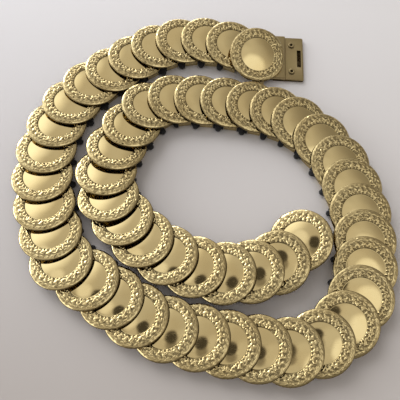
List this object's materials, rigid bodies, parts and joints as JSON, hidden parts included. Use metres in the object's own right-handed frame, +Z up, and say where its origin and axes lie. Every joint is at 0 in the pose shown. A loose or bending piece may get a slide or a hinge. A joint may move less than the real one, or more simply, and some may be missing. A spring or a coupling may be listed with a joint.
{
  "type": "coin belt",
  "caption": "Stretch belt of overlapping round brass coins with leaf-wreath borders, on links joined by black elastic, lying flat in an oval spiral with its hook and slot clasp open.",
  "frame": {"origin": "on the surface that the belt rests on, under the middle of its outline", "axes": "+Z up out of the surface; +X to the right and +Y away, as seen in the picture; the slot plate is at +X +Y"},
  "size_m": [0.1988, 0.2074, 0.0149],
  "materials": {
    "coin_brass": "polished pale gold with dark hollows in the relief",
    "clasp_brass": "satin, lightly tarnished",
    "elastic": "matt black woven elastic"
  },
  "bodies": {
    "root": {"coin_01": "coin_brass", "coin_02": "coin_brass", "coin_03": "coin_brass", "coin_04": "coin_brass", "coin_05": "coin_brass", "coin_06": "coin_brass", "coin_07": "coin_brass", "coin_08": "coin_brass", "coin_09": "coin_brass", "coin_10": "coin_brass", "coin_11": "coin_brass", "coin_12": "coin_brass", "coin_13": "coin_brass", "coin_14": "coin_brass", "coin_15": "coin_brass", "coin_16": "coin_brass", "coin_17": "coin_brass", "coin_18": "coin_brass", "coin_19": "coin_brass", "coin_20": "coin_brass", "coin_21": "coin_brass", "coin_22": "coin_brass", "coin_23": "coin_brass", "coin_24": "coin_brass", "coin_25": "coin_brass", "coin_26": "coin_brass", "coin_27": "coin_brass", "coin_28": "coin_brass", "coin_29": "coin_brass", "coin_30": "coin_brass", "coin_31": "coin_brass", "coin_32": "coin_brass", "coin_33": "coin_brass", "coin_34": "coin_brass", "coin_35": "coin_brass", "coin_36": "coin_brass", "coin_37": "coin_brass", "coin_38": "coin_brass", "coin_39": "coin_brass", "coin_40": "coin_brass", "coin_41": "coin_brass", "coin_42": "coin_brass", "coin_43": "coin_brass", "coin_44": "coin_brass", "coin_45": "coin_brass", "coin_46": "coin_brass", "coin_47": "coin_brass", "coin_48": "coin_brass", "coin_49": "coin_brass", "coin_50": "coin_brass", "coin_51": "coin_brass", "elastic_1": "elastic", "elastic_2": "elastic", "elastic_3": "elastic", "elastic_4": "elastic", "elastic_5": "elastic", "slot_plate": "clasp_brass", "rivet_1": "clasp_brass", "rivet_2": "clasp_brass", "hook_plate": "clasp_brass"}
  },
  "joints": []
}
